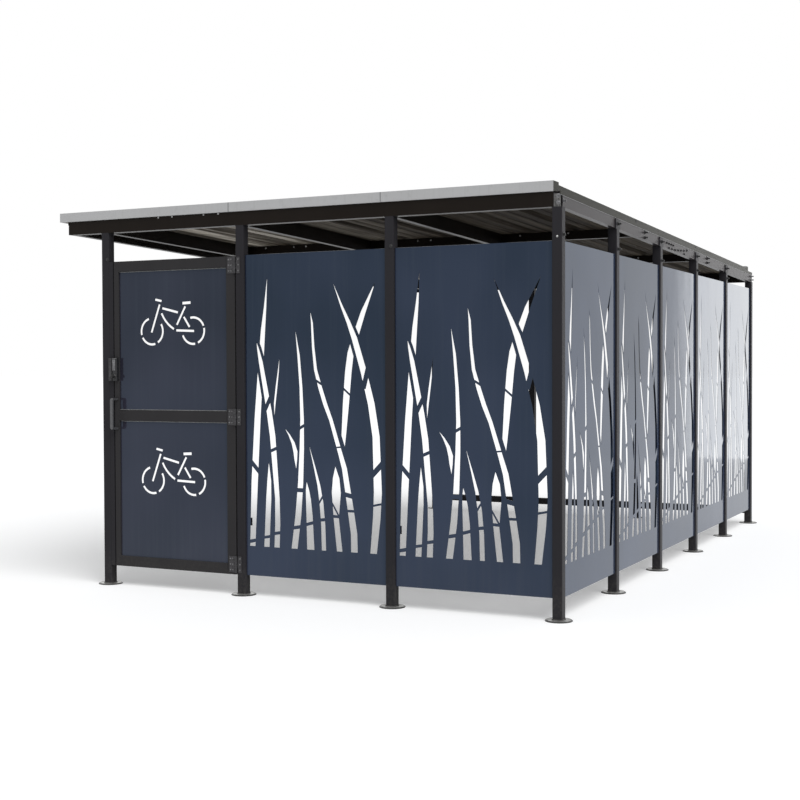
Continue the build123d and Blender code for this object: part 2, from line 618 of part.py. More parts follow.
half_beam = BEAM_WIDTH / 2
write("beam_front", level_tube(LEFT_END, RIGHT_END, -half_beam, half_beam, BEAM_BOTTOM, BEAM_TOP, BEAM_WALL))
write("beam_back", level_tube(LEFT_END, RIGHT_END, LENGTH_Y - half_beam, BACK_FACE, back_beam_bottom,
                              back_beam_top, BEAM_WALL))
write("beam_caps", [block(x, x + CAP_THICKNESS, y - half_beam, y + half_beam, z, z + BEAM_HEIGHT)
                    for x in (LEFT_END - CAP_THICKNESS, RIGHT_END)
                    for y, z in ((0, BEAM_BOTTOM), (LENGTH_Y, back_beam_bottom))])
write("beam_right", sloped_tube(RIGHT_LINE, HALF - CORNER_LAP, LENGTH_Y - HALF + CORNER_LAP, BEAM_HEIGHT))
write("beam_left", sloped_tube(LEFT_LINE, half_beam, LENGTH_Y - half_beam, BEAM_HEIGHT))
write("rafters", [sloped_tube(bay * MODULE, half_beam, LENGTH_Y - half_beam, BEAM_HEIGHT)
                  for bay in range(1, FRONT_BAYS)])
left_edge_line = LEFT_END + RAFTER_WIDTH / 2
write("beam_left_edge", sloped_tube(left_edge_line, half_beam, LENGTH_Y - half_beam, EDGE_BEAM_HEIGHT))
purlins = []
for row in range(PURLIN_ROWS):
    purlins += purlin_row(LENGTH_Y * (row + 1) / (PURLIN_ROWS + 1))
write("purlins", purlins)
write("corner_brackets", [corner_bracket(POST_FACE, 1, BEAM_BOTTOM),
                          corner_bracket(LENGTH_Y + HALF, -1, back_beam_bottom)])

write("roof_sheet", roof_sheet())
write("fascia_front", front_fascia())
write("fascia_back", edge_strip(TRIM_LEFT, TRIM_RIGHT, BACK_FACE, 1))
write("side_flashings", [side_flashing(TRIM_RIGHT, -1), side_flashing(TRIM_LEFT, 1)])

middle_low = MIDDLE_RAIL_CENTRE - DOOR_RAIL / 2
middle_high = MIDDLE_RAIL_CENTRE + DOOR_RAIL / 2
write("door_jamb", door_jamb())
write("door_lock_stile", stile(DOOR_LEFT, LOCK_STILE))
write("door_hinge_stile", stile(DOOR_RIGHT - HINGE_STILE, HINGE_STILE))
write("door_rails", door_rails())
write("door_upper_sheet", door_sheet(middle_high, DOOR_TOP - DOOR_RAIL))
write("door_lower_sheet", door_sheet(DOOR_BOTTOM + DOOR_RAIL, middle_low))
write("hinges_door", [hinge_door_leaf(z) for z in HINGE_STARTS])
write("hinges_post", [hinge_post_leaf(z) for z in HINGE_STARTS])
write("lock_case", lock_case())
write("lock_keeper", lock_keeper())
write("pull_handle", pull_handle())
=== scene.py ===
"""Finish, small fittings, floor, light and camera for a steel bike shelter with reed-cut panels.

Metres. +X runs to the right along the front, +Y towards the back, +Z up, as in the part.
"""
import json
import math
from types import SimpleNamespace

import bmesh
import bpy
from mathutils import Matrix, Vector


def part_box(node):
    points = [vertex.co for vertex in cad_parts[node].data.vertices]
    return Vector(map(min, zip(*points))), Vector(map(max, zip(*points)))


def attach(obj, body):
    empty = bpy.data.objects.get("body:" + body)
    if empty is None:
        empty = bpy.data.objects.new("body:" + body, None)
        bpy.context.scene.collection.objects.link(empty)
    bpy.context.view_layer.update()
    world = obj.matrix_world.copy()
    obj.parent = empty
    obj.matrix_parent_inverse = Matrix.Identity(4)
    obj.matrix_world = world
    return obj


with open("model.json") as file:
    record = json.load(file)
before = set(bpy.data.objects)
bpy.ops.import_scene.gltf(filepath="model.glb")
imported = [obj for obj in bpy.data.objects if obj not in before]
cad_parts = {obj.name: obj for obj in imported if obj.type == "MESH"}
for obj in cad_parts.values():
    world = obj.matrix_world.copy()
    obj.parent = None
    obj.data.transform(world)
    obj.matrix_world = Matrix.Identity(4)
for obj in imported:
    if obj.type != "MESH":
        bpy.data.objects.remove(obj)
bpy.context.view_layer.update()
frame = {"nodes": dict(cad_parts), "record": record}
nodes = frame["nodes"]


def faces(node):
    """Where the six sides of a node's box lie."""
    low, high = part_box(node)
    return SimpleNamespace(left=low.x, right=high.x, front=low.y, back=high.y, bottom=low.z, top=high.z)


# Camera, fitted to the photograph
CAMERA_PLACE = (5.7036, -7.2296, 1.4509)
CAMERA_YAW = 25.983
CAMERA_PITCH = -1.386
CAMERA_ROLL = -0.196
CAMERA_LENS = 60.07

# Sizes that the small fittings share with the frame; the bars are its rafters and purlins
FIRST_POST = faces("post_front_1")
MODULE = round(faces("post_front_2").left - FIRST_POST.left, 4)
HALF_POST = round(FIRST_POST.right, 4)
FOOT_TOP = round(FIRST_POST.bottom, 4)
BAR_WIDTH = 0.040
ROOF_SLOPE = math.radians(1.4)
FALL = math.tan(ROOF_SLOPE)
BAYS_WIDE = 3
BAYS_DEEP = 5
WIDTH = BAYS_WIDE * MODULE
DEPTH = BAYS_DEEP * MODULE
FRONT_POSTS = [(bay * MODULE, 0.0) for bay in range(BAYS_WIDE + 1)]
SIDE_POSTS = [(WIDTH, bay * MODULE) for bay in range(1, BAYS_DEEP)]
BACK_POSTS = [(bay * MODULE, DEPTH) for bay in range(BAYS_WIDE + 1)]

# Middles of the two joints in the front strip
SEAMS = (MODULE - 0.07325, 2 * MODULE - 0.05025)

# Corner radius of each kind of bolt's hexagon, and radius of each kind of screw's head
POST_BOLT = 0.0105
BEAM_BOLT = 0.0100
CORNER_BOLT = 0.0095
HEAD_BOLT = 0.0085
SPLICE_BOLT = 0.0075
ANGLE_BOLT = 0.0075
RAIL_BOLT = 0.0070
BRIGHT_HEAD_BOLT = 0.0045
PURLIN_SCREW = 0.0070
STRIP_SCREW = 0.0062
PANEL_SCREW = 0.0060
STRIP_TOP_SCREW = 0.0052
KEEPER_SCREW = 0.0050
HINGE_SCREW = 0.0048

# Angle in degrees above which an edge of a fitting stays sharp
BOLT_CREASE = 35
BEAD_CREASE = 40
WELD_CREASE = 60

FRONT = (0, -1, 0)
BACK = (0, 1, 0)
LEFT = (-1, 0, 0)
RIGHT = (1, 0, 0)
UP = (0, 0, 1)

WHITE = (1, 1, 1, 1)


class Value:
    """A socket's value in a node tree; arithmetic on it adds Math nodes."""

    def __init__(self, graph, socket):
        self.graph = graph
        self.socket = socket

    def __add__(self, other):
        return self.graph.math("ADD", self, other)

    def __sub__(self, other):
        return self.graph.math("SUBTRACT", self, other)

    def __rsub__(self, other):
        return self.graph.math("SUBTRACT", other, self)

    def __mul__(self, other):
        return self.graph.math("MULTIPLY", self, other)

    def __truediv__(self, other):
        return self.graph.math("DIVIDE", self, other)

    def __rtruediv__(self, other):
        return self.graph.math("DIVIDE", other, self)

    __radd__ = __add__
    __rmul__ = __mul__


class Graph:
    """A node tree in the making."""

    def __init__(self, tree):
        self.tree = tree

    def node(self, kind, settings, output, sockets):
        """Adds a node: its settings first, then the value or link of each socket; gives one output."""
        made = self.tree.nodes.new(kind)
        for name, value in settings.items():
            setattr(made, name, value)
        for socket, value in sockets.items():
            if isinstance(value, Value):
                self.tree.links.new(value.socket, made.inputs[socket])
            else:
                made.inputs[socket].default_value = value
        return Value(self, made.outputs[output])

    def math(self, operation, *values):
        return self.node("ShaderNodeMath", {"operation": operation}, 0, dict(enumerate(values)))

    def seen(self):
        """One for rays from the camera, from gloss and through glass, and nothing for the others."""
        total = self.node("ShaderNodeLightPath", {}, "Is Camera Ray", {})
        for ray in ("Is Glossy Ray", "Is Transmission Ray"):
            total = self.math("MAXIMUM", total, self.node("ShaderNodeLightPath", {}, ray, {}))
        return total

    def end(self, output, surface):
        """Links a shader to the tree's own output node."""
        self.tree.links.new(surface.socket, self.tree.nodes[output].inputs["Surface"])


class Finish(Graph):
    """A material in the making, around one principled shader."""

    def __init__(self, name, **constants):
        self.material = bpy.data.materials.new(name)
        self.material.use_nodes = True
        super().__init__(self.material.node_tree)
        self.shader = self.tree.nodes["Principled BSDF"]
        for socket, value in constants.items():
            self.shader.inputs[socket.replace("_", " ")].default_value = value

    def place(self):
        """The point in the part's own frame, which moves with the piece."""
        return self.node("ShaderNodeTexCoord", {}, "Object", {})

    def along(self, axis):
        """One coordinate of the point."""
        return self.node("ShaderNodeSeparateXYZ", {}, axis, {0: self.place()})

    def facing(self, axis):
        """One part of the surface's direction."""
        normal = self.node("ShaderNodeTexCoord", {}, "Normal", {})
        return self.node("ShaderNodeSeparateXYZ", {}, axis, {0: normal})

    def stretched(self, x, y, z):
        """The point, with each axis scaled."""
        return self.node("ShaderNodeMapping", {}, 0, {"Vector": self.place(), "Scale": (x, y, z)})

    def noise(self, point, scale, detail=3.0, roughness=0.5):
        return self.node("ShaderNodeTexNoise", {}, 0,
                         {"Vector": point, "Scale": scale, "Detail": detail, "Roughness": roughness})

    def ramp(self, value, low, high, from_value=0.0, to_value=1.0):
        """A value between two limits, spread over another range and clamped there."""
        return self.node("ShaderNodeMapRange", {}, 0,
                         {"Value": value, "From Min": low, "From Max": high, "To Min": from_value,
                          "To Max": to_value})

    def blend(self, share, first, second):
        """Two colours mixed by a share of the second."""
        return self.node("ShaderNodeMix", {"data_type": "RGBA"}, 2, {0: share, 6: first, 7: second})

    def bump(self, height, distance, strength=1.0, under=None):
        sockets = {"Height": height, "Distance": distance, "Strength": strength}
        if under:
            sockets["Normal"] = under
        return self.node("ShaderNodeBump", {}, 0, sockets)

    def feed(self, **links):
        """Links values to the shader's sockets, and gives the finished material."""
        for socket, value in links.items():
            self.tree.links.new(value.socket, self.shader.inputs[socket.replace("_", " ")])
        return self.material


def navy_paint(name, deep, pale):
    """Smooth dark blue paint on folded sheet: faintly wavy, water marks down it, dust low down."""
    water_mark = (0.050, 0.058, 0.074, 1)
    dust_tone = (0.10, 0.10, 0.095, 1)
    paint = Finish(name, Specular_IOR_Level=0.35, Specular_Tint=(0.50, 0.75, 1.0, 1))
    drift = paint.noise(paint.stretched(1.0, 1.0, 0.7), 1.3, 2.0)
    speck = paint.noise(paint.place(), 420.0, 2.0, 0.6)
    rain = paint.noise(paint.stretched(34.0, 34.0, 0.9), 1.0, 4.0, 0.6)
    height = paint.along("Z")
    faded = paint.ramp(drift, 0.36, 0.62, 0.0, 0.55) + paint.ramp(height, 0.15, 2.15, 0.45, 0.0)
    blue = paint.blend(faded, deep, pale)
    streaked = paint.blend(paint.ramp(rain, 0.50, 0.80, 0.0, 0.18), blue, water_mark)
    dust = paint.ramp(height, 0.13, 0.60, 1.0, 0.0) * paint.ramp(rain, 0.30, 0.75, 0.35, 1.0)
    fleck = paint.ramp(speck, 0.60, 0.75, 0.0, 0.25)
    colour = paint.blend(dust * 0.12 + fleck * dust, streaked, dust_tone)
    rough = paint.ramp(drift, 0.3, 0.7, 0.045, 0.075) + dust * 0.08 + paint.ramp(rain, 0.5, 0.8, 0.0, 0.04)
    wave = paint.noise(paint.stretched(1.0, 1.0, 0.35), 2.6, 1.0)
    peel = paint.noise(paint.place(), 260.0, 1.0)
    surface = paint.bump(peel, 0.00006, 0.5, under=paint.bump(wave, 0.003, 0.5))
    return paint.feed(Base_Color=colour, Roughness=rough, Normal=surface)


def frame_paint(name, dark, pale, gloss):
    """Near black paint with a fine texture, dusty near the ground and on faces that look up."""
    dust_tone = (0.085, 0.080, 0.072, 1)
    paint = Finish(name, Specular_IOR_Level=gloss)
    grain = paint.noise(paint.place(), 620.0, 2.0)
    drift = paint.noise(paint.stretched(5.0, 5.0, 1.4), 1.0, 4.0, 0.6)
    scuff = paint.noise(paint.place(), 55.0, 5.0, 0.7)
    base = paint.blend(drift, dark, pale)
    low = paint.ramp(paint.along("Z"), 0.01, 0.30, 1.0, 0.0)
    up = paint.ramp(paint.facing("Z"), 0.6, 0.95, 0.0, 0.35)
    dust = low * paint.ramp(scuff, 0.45, 0.70, 0.05, 0.55) + up * paint.ramp(drift, 0.3, 0.7, 0.4, 1.0)
    colour = paint.blend(dust, base, dust_tone)
    rough = paint.ramp(grain, 0.3, 0.7, 0.30, 0.42) + dust * 0.25
    return paint.feed(Base_Color=colour, Roughness=rough, Normal=paint.bump(grain, 0.00012, 0.45))


def trim_paint():
    """Pale grey coated sheet on the roof's front and back, with faint rain marks."""
    rib_shade_coat = (0.420, 0.420, 0.422, 1)
    coat_pale = (0.495, 0.495, 0.498, 1)
    rain_mark = (0.27, 0.27, 0.26, 1)
    grime_tone = (0.22, 0.22, 0.20, 1)
    paint = Finish("trim_paint", Specular_IOR_Level=0.35)
    drift = paint.noise(paint.place(), 1.7, 3.0)
    rain = paint.noise(paint.stretched(70.0, 70.0, 3.0), 1.0, 4.0, 0.6)
    grime = paint.noise(paint.place(), 26.0, 5.0, 0.65)
    coat = paint.blend(drift, rib_shade_coat, coat_pale)
    marked = paint.blend(paint.ramp(rain, 0.55, 0.80, 0.0, 0.30), coat, rain_mark)
    dulled = paint.blend(paint.ramp(grime, 0.55, 0.75, 0.0, 0.22), marked, grime_tone)
    rough = paint.ramp(drift, 0.3, 0.7, 0.34, 0.46)
    return paint.feed(Base_Color=dulled, Roughness=rough, Normal=paint.bump(rain, 0.0002, 0.2))


def flashing_zinc():
    """Weathered olive grey sheet down the roof's sides."""
    olive_dark = (0.013, 0.013, 0.009, 1)
    olive_pale = (0.030, 0.029, 0.022, 1)
    bloom_tone = (0.12, 0.117, 0.100, 1)
    zinc = Finish("flashing_zinc", Specular_IOR_Level=0.045)
    drift = zinc.noise(zinc.stretched(3.0, 0.8, 6.0), 1.0, 4.0, 0.6)
    bloom = zinc.noise(zinc.place(), 45.0, 4.0, 0.6)
    olive = zinc.blend(drift, olive_dark, olive_pale)
    colour = zinc.blend(zinc.ramp(bloom, 0.50, 0.75, 0.0, 0.30), olive, bloom_tone)
    rough = zinc.ramp(bloom, 0.3, 0.7, 0.28, 0.40)
    return zinc.feed(Base_Color=colour, Roughness=rough, Normal=zinc.bump(bloom, 0.0002, 0.2))


def roof_zinc():
    """Galvanised roof sheet: spangle on top, a dull brown coat underneath with darker stripes along the ribs
    that are painted shade, paler towards the left as painted light.
    """
    spangle_dark = (0.33, 0.33, 0.325, 1)
    spangle_pale = (0.45, 0.45, 0.44, 1)
    rain_mark = (0.26, 0.252, 0.238, 1)
    rib_shade_coat = (0.040, 0.031, 0.024, 1)
    coat_pale = (0.140, 0.118, 0.090, 1)
    left_light_rib_shade = (0.120, 0.098, 0.070, 1)
    left_light_pale = (0.760, 0.700, 0.600, 1)
    zinc = Finish("roof_zinc", Specular_IOR_Level=0.05)
    spangle = zinc.node("ShaderNodeTexVoronoi", {}, "Color", {"Vector": zinc.place(), "Scale": 85.0})
    flake = zinc.node("ShaderNodeSeparateColor", {}, 0, {0: spangle})
    streak = zinc.noise(zinc.stretched(16.0, 0.45, 16.0), 1.0, 4.0, 0.6)
    left_light_wobble = zinc.noise(zinc.stretched(2.4, 0.9, 2.4), 1.0, 4.0, 0.6)
    bright = zinc.blend(flake, spangle_dark, spangle_pale)
    upper = zinc.blend(zinc.ramp(streak, 0.45, 0.75, 0.0, 0.5), bright, rain_mark)
    # Painted light: the underside grows paler towards its open left end, with a wobbly edge.
    left_light = zinc.ramp(zinc.along("X") + left_light_wobble * 1.2, 0.2, 2.6, 1.0, 0.0)
    # Painted shade: the darker stripes along the ribs stand for the ribs' shadows.
    shaded = zinc.blend(zinc.ramp(streak, 0.40, 0.62), rib_shade_coat, coat_pale)
    lit_left_coat = zinc.blend(zinc.ramp(streak, 0.38, 0.60), left_light_rib_shade, left_light_pale)
    lower = zinc.blend(left_light * left_light, shaded, lit_left_coat)
    under = zinc.ramp(zinc.facing("Z"), -0.1, 0.1, 1.0, 0.0)
    bare = under * left_light * zinc.ramp(streak, 0.49, 0.58)
    rough = zinc.ramp(streak, 0.3, 0.7, 0.38, 0.52) + under * 0.34 - bare * 0.40
    metal = (1.0 - under) * zinc.ramp(streak, 0.3, 0.8, 0.80, 0.55) + bare * 0.8
    return zinc.feed(Base_Color=zinc.blend(under, upper, lower), Roughness=rough, Metallic=metal,
                     Normal=zinc.bump(streak, 0.0003, 0.25))


def bracket_zinc():
    """Bare galvanised corner plates, dulled and water marked."""
    dull = (0.070, 0.069, 0.068, 1)
    bright = (0.21, 0.205, 0.20, 1)
    zinc = Finish("bracket_zinc", Specular_IOR_Level=0.3)
    patch = zinc.noise(zinc.place(), 70.0, 4.0, 0.6)
    colour = zinc.blend(zinc.ramp(patch, 0.4, 0.68), dull, bright)
    return zinc.feed(Base_Color=colour, Roughness=zinc.ramp(patch, 0.3, 0.7, 0.32, 0.48),
                     Metallic=zinc.ramp(patch, 0.4, 0.7, 0.2, 0.6), Normal=zinc.bump(patch, 0.0002, 0.3))


def foot_metal():
    """Foot plates: bare worn metal on top, round the post, with a dark rim that is painted shade of the
    plate's edge.
    """
    bare_pale = (0.52, 0.52, 0.51, 1)
    bare_dull = (0.25, 0.245, 0.235, 1)
    rim_shade = (0.045, 0.044, 0.042, 1)
    rim_start = 0.070
    rim_end = 0.082
    metal = Finish("foot_metal")
    wear = metal.noise(metal.place(), 60.0, 5.0, 0.65)
    offsets = []
    for axis in "XY":
        # Half a span puts each post in the middle of one, and ten spans keep the number positive
        share = metal.math("FRACT", metal.along(axis) / MODULE + 10.5) - 0.5
        offsets.append(share * MODULE)
    reach = metal.math("SQRT", offsets[0] * offsets[0] + offsets[1] * offsets[1])
    # Painted shade: the plate's outer band and edge darken towards the rim.
    rim = metal.ramp(reach + wear * 0.010, rim_start, rim_end)
    bare = metal.blend(metal.ramp(wear, 0.42, 0.68), bare_pale, bare_dull)
    rough = metal.ramp(wear, 0.3, 0.7, 0.30, 0.46)
    shine = metal.ramp(rim, 0.0, 1.0, 0.70, 0.30)
    return metal.feed(Base_Color=metal.blend(rim, bare, rim_shade), Roughness=rough, Metallic=shine,
                      Normal=metal.bump(wear, 0.0003, 0.3))


def worn_steel(name, dark, pale, shine):
    """Steel of bolts, hinges, lock and handle: brushed, darkened, paler where it rubs."""
    steel = Finish(name, Specular_IOR_Level=0.4)
    hair = steel.noise(steel.stretched(900.0, 900.0, 14.0), 1.0, 3.0)
    patch = steel.noise(steel.place(), 75.0, 4.0, 0.6)
    rubbed = steel.ramp(patch, 0.34, 0.74)
    rough = steel.ramp(hair, 0.3, 0.7, 0.24, 0.40)
    metal = steel.ramp(rubbed, 0.0, 1.0, shine * 0.4, shine)
    return steel.feed(Base_Color=steel.blend(rubbed, dark, pale), Roughness=rough, Metallic=metal,
                      Normal=steel.bump(hair, 0.0001, 0.25))


def weld_metal():
    """Painted weld beads, with ripples and a few pale spots."""
    dark = (0.030, 0.029, 0.027, 1)
    spot = (0.085, 0.082, 0.078, 1)
    weld = Finish("weld_metal", Specular_IOR_Level=0.4)
    ripple = weld.noise(weld.place(), 350.0, 3.0)
    return weld.feed(Base_Color=weld.blend(weld.ramp(ripple, 0.45, 0.70), dark, spot),
                     Roughness=weld.ramp(ripple, 0.3, 0.7, 0.35, 0.55), Normal=weld.bump(ripple, 0.0004, 0.5))


NAVY = navy_paint("navy_paint", (0.0135, 0.0185, 0.0345, 1), (0.0350, 0.0420, 0.0740, 1))
# The right side panels get a paler, bluer copy of the navy paint: painted light for the side that faces the
# light.
LIT_SIDE_NAVY = navy_paint("lit_side_navy_paint", (0.0190, 0.0300, 0.0590, 1), (0.0430, 0.0590, 0.1070, 1))
DOOR_NAVY = navy_paint("door_navy_paint", (0.0190, 0.0185, 0.0290, 1), (0.0400, 0.0385, 0.0570, 1))
FRAME = frame_paint("frame_paint", (0.0228, 0.0219, 0.0248, 1), (0.0325, 0.0312, 0.0350, 1), 0.05)
# A darker, browner copy of the frame paint for the beams, rafters and purlins: painted shade, for parts that
# lie under the front strip and the roof.
SHADED_BEAM = frame_paint("shaded_beam_paint", (0.0085, 0.0062, 0.0048, 1), (0.0150, 0.0114, 0.0090, 1), 0.07)
SIDE_BEAM = frame_paint("side_beam_paint", (0.0250, 0.0215, 0.0235, 1), (0.0350, 0.0310, 0.0335, 1), 0.15)
DOOR_FRAME = frame_paint("door_frame_paint", (0.0290, 0.0277, 0.0290, 1), (0.0390, 0.0375, 0.0390, 1), 0.06)
BRACKET = bracket_zinc()
TRIM = trim_paint()
FLASHING = flashing_zinc()
ROOF = roof_zinc()
FOOT = foot_metal()
HINGE = worn_steel("hinge_steel", (0.022, 0.021, 0.023, 1), (0.070, 0.068, 0.072, 1), 0.5)
SCREW = worn_steel("hinge_screw_steel", (0.100, 0.098, 0.102, 1), (0.260, 0.255, 0.262, 1), 0.5)
LOCK = worn_steel("lock_steel", (0.012, 0.012, 0.013, 1), (0.035, 0.035, 0.037, 1), 0.3)
GRIP = worn_steel("handle_steel", (0.075, 0.075, 0.079, 1), (0.130, 0.130, 0.135, 1), 0.6)
DARK_BOLT = worn_steel("dark_bolt_steel", (0.012, 0.012, 0.012, 1), (0.040, 0.040, 0.041, 1), 0.4)
BRIGHT_BOLT = worn_steel("bright_bolt_steel", (0.36, 0.36, 0.36, 1), (0.60, 0.60, 0.59, 1), 0.7)
KEYPAD = worn_steel("keypad_steel", (0.11, 0.11, 0.115, 1), (0.24, 0.24, 0.245, 1), 0.7)
RUBBER = worn_steel("black_plastic", (0.008, 0.008, 0.008, 1), (0.016, 0.016, 0.016, 1), 0.0)
# Pale steel for the door's sheet beads: a painted highlight along the sheets' edges.
HIGHLIGHT_BEAD = worn_steel("bead_metal_painted_highlight", (0.12, 0.12, 0.125, 1), (0.24, 0.24, 0.24, 1), 0.3)
WELD = weld_metal()

PAINTS = {
    "frame_paint": FRAME,
    "panel_paint": NAVY,
    "trim_paint": TRIM,
    "roof_metal": ROOF,
    "foot_metal": FOOT,
    "fitting_steel": HINGE,
    "lock_metal": LOCK,
}
OWN_PAINTS = {
    # Beams, rafters and purlins under the roof take the darker copy, which is painted shade.
    "beam_front": SHADED_BEAM,
    "beam_back": SHADED_BEAM,
    "beam_left": SHADED_BEAM,
    "beam_left_edge": SHADED_BEAM,
    "rafters": SHADED_BEAM,
    "purlins": SHADED_BEAM,
    "beam_right": SIDE_BEAM,
    "door_rails": DOOR_FRAME,
    "door_lock_stile": DOOR_FRAME,
    "door_hinge_stile": DOOR_FRAME,
    "door_upper_sheet": DOOR_NAVY,
    "door_lower_sheet": DOOR_NAVY,
    "corner_brackets": BRACKET,
    "side_flashings": FLASHING,
    "pull_handle": GRIP,
    "lock_keeper": HINGE,
}
# The right side panels take the paler copy of the navy paint, which is painted light.
OWN_PAINTS.update({f"panel_right_{bay}": LIT_SIDE_NAVY for bay in range(1, BAYS_DEEP + 1)})

for part in frame["record"]["subparts"]:
    paint = OWN_PAINTS.get(part["node"], PAINTS[part["material_slot"]])
    piece = nodes[part["node"]]
    piece.data.materials.clear()
    piece.data.materials.append(paint)


def fallen(node, y):
    """Height of a sloping node's top edge at a distance from the front."""
    ends = faces(node)
    return ends.top - FALL * (y - ends.front)


def turned(place, outward):
    """The matrix that sets a fitting at a place with its own Z pointing outward."""
    return Matrix.Translation(place) @ Vector(outward).to_track_quat("Z", "Y").to_matrix().to_4x4()


def skin(mesh, rings):
    """Faces between each ring of points and the next, and over both ends."""
    for lower, upper in zip(rings, rings[1:]):
        for side in range(len(lower)):
            after = (side + 1) % len(lower)
            mesh.faces.new((lower[side], lower[after], upper[after], upper[side]))
    mesh.faces.new(rings[0][::-1])
    mesh.faces.new(rings[-1])


def lathe(mesh, matrix, outline, sides, first=0.0):
    """A turned solid: each (radius, height) is a ring, and both ends are closed."""
    rings = []
    for radius, height in outline:
        ring = []
        for side in range(sides):
            angle = first + 2 * math.pi * side / sides
            corner = Vector((radius * math.cos(angle), radius * math.sin(angle), height))
            ring.append(mesh.verts.new(matrix @ corner))
        rings.append(ring)
    skin(mesh, rings)


def slab(mesh, matrix, size, bevel):
    """A plate on its own XY plane, its four upper edges bevelled."""
    wide, tall, height = size
    rings = []
    for inset, z in ((0.0, 0.0), (0.0, height - bevel), (bevel, height)):
        x = wide / 2 - inset
        y = tall / 2 - inset
        corners = ((-x, -y, z), (x, -y, z), (x, y, z), (-x, y, z))
        rings.append([mesh.verts.new(matrix @ Vector(corner)) for corner in corners])
    skin(mesh, rings)


def hex_bolt(mesh, place, outward, radius, turn=0.0, reach=0.0):
    """A washer, a chamfered hexagon nut and the raised end of its bolt, which may reach further out."""
    matrix = turned(place, outward)
    washer = radius * 0.22
    head = washer + radius * 0.72
    tip = head * 1.18 + reach
    lathe(mesh, matrix, [(radius * 1.40, 0), (radius * 1.40, washer * 0.7), (radius * 1.30, washer)], 20)
    lathe(mesh, matrix, [(radius, washer), (radius, head * 0.88), (radius * 0.84, head)], 6, turn)
    lathe(mesh, matrix, [(radius * 0.55, head), (radius * 0.55, tip - head * 0.06), (radius * 0.42, tip)], 14)


def pan_screw(mesh, place, outward, radius):
    """A domed screw head with a socket sunk in it."""
    dome = [(radius, 0), (radius * 0.97, radius * 0.22), (radius * 0.80, radius * 0.42),
            (radius * 0.50, radius * 0.52), (radius * 0.36, radius * 0.52), (radius * 0.34, radius * 0.20)]
    lathe(mesh, turned(place, outward), dome, 18)


def roof_screw(mesh, place, outward):
    """A roofing screw: a rubber ring, a flange and a hexagon head."""
    matrix = turned(place, outward)
    lathe(mesh, matrix, [(0.0090, 0), (0.0095, 0.0012), (0.0088, 0.0024)], 18)
    lathe(mesh, matrix, [(0.0080, 0.0024), (0.0078, 0.0036), (0.0050, 0.0044)], 18)
    lathe(mesh, matrix, [(0.0046, 0.0040), (0.0046, 0.0085), (0.0038, 0.0094)], 6)


def finish_piece(name, mesh, body, paint, crease=None):
    """Makes an object of the built mesh, paints it, and makes it ride on its body."""
    bmesh.ops.recalc_face_normals(mesh, faces=mesh.faces)
    data = bpy.data.meshes.new(name)
    mesh.to_mesh(data)
    mesh.free()
    data.materials.append(paint)
    piece = bpy.data.objects.new(name, data)
    bpy.context.scene.collection.objects.link(piece)
    if crease:
        data.shade_smooth()
        data.set_sharp_from_angle(angle=math.radians(crease))
    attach(piece, body)


def side_bolts():
    """Dark bolts of the side beam: lugs, post heads, purlin ends and the splice."""
    lug_drop = 0.030
    head_height = 2.204
    head_shift = 0.006
    purlin_ends = (1.712, 3.550)
    purlin_drops = (0.042, 0.077)
    # Each bolt of the splice: distance from the front, drop below the beam's top
    splice = ((2.290, 0.050), (2.352, 0.050), (2.414, 0.050), (2.476, 0.050), (2.352, 0.082), (2.440, 0.080),
              (2.528, 0.078), (2.616, 0.072), (2.704, 0.064), (2.792, 0.056), (2.880, 0.046), (2.800, 0.082))
    mesh = bmesh.new()
    for number, (_, y) in enumerate(SIDE_POSTS, 1):
        post = faces(f"post_right_{number}")
        hex_bolt(mesh, (post.right, y, post.top - lug_drop), RIGHT, POST_BOLT, 0.3 * number, 0.011)
        hex_bolt(mesh, (post.right, y + head_shift, head_height), RIGHT, POST_BOLT, 0.5 * number, 0.006)
    corner = faces("post_front_4").right
    hex_bolt(mesh, (corner, 0.0, head_height), RIGHT, BEAM_BOLT, 0.2)
    beam = faces("beam_right").right
    for y in purlin_ends:
        for drop in purlin_drops:
            place = (beam, y, fallen("beam_right", y) - drop)
            hex_bolt(mesh, place, RIGHT, BEAM_BOLT, y + drop * 9, 0.012)
    for y, drop in splice:
        hex_bolt(mesh, (beam, y, fallen("beam_right", y) - drop), RIGHT, SPLICE_BOLT, y * 3)
    finish_piece("side_bolts", mesh, "shelter", DARK_BOLT, BOLT_CREASE)


def corner_bolts():
    """Bolts of the plates that tie the level beams to the side beam."""
    bracket = faces("corner_brackets")
    x = (bracket.left + bracket.right) / 2 + 0.006
    front_bolt = (0.018, 2.396)
    back_bolts = ((5.290, 2.282), (5.290, 2.249))
    mesh = bmesh.new()
    for drop in (0.014, 0.052):
        hex_bolt(mesh, (x, bracket.front, bracket.top - drop), FRONT, CORNER_BOLT, drop * 20, 0.006)
        hex_bolt(mesh, (x, bracket.back, bracket.bottom + drop + 0.010), BACK, CORNER_BOLT, drop * 31, 0.006)
    beam = faces("beam_right").right
    hex_bolt(mesh, (beam, *front_bolt), RIGHT, CORNER_BOLT, 0.4, 0.010)
    for y, z in back_bolts:
        hex_bolt(mesh, (beam, y, z), RIGHT, BEAM_BOLT, z, 0.016)
    finish_piece("corner_bolts", mesh, "shelter", KEYPAD, BOLT_CREASE)


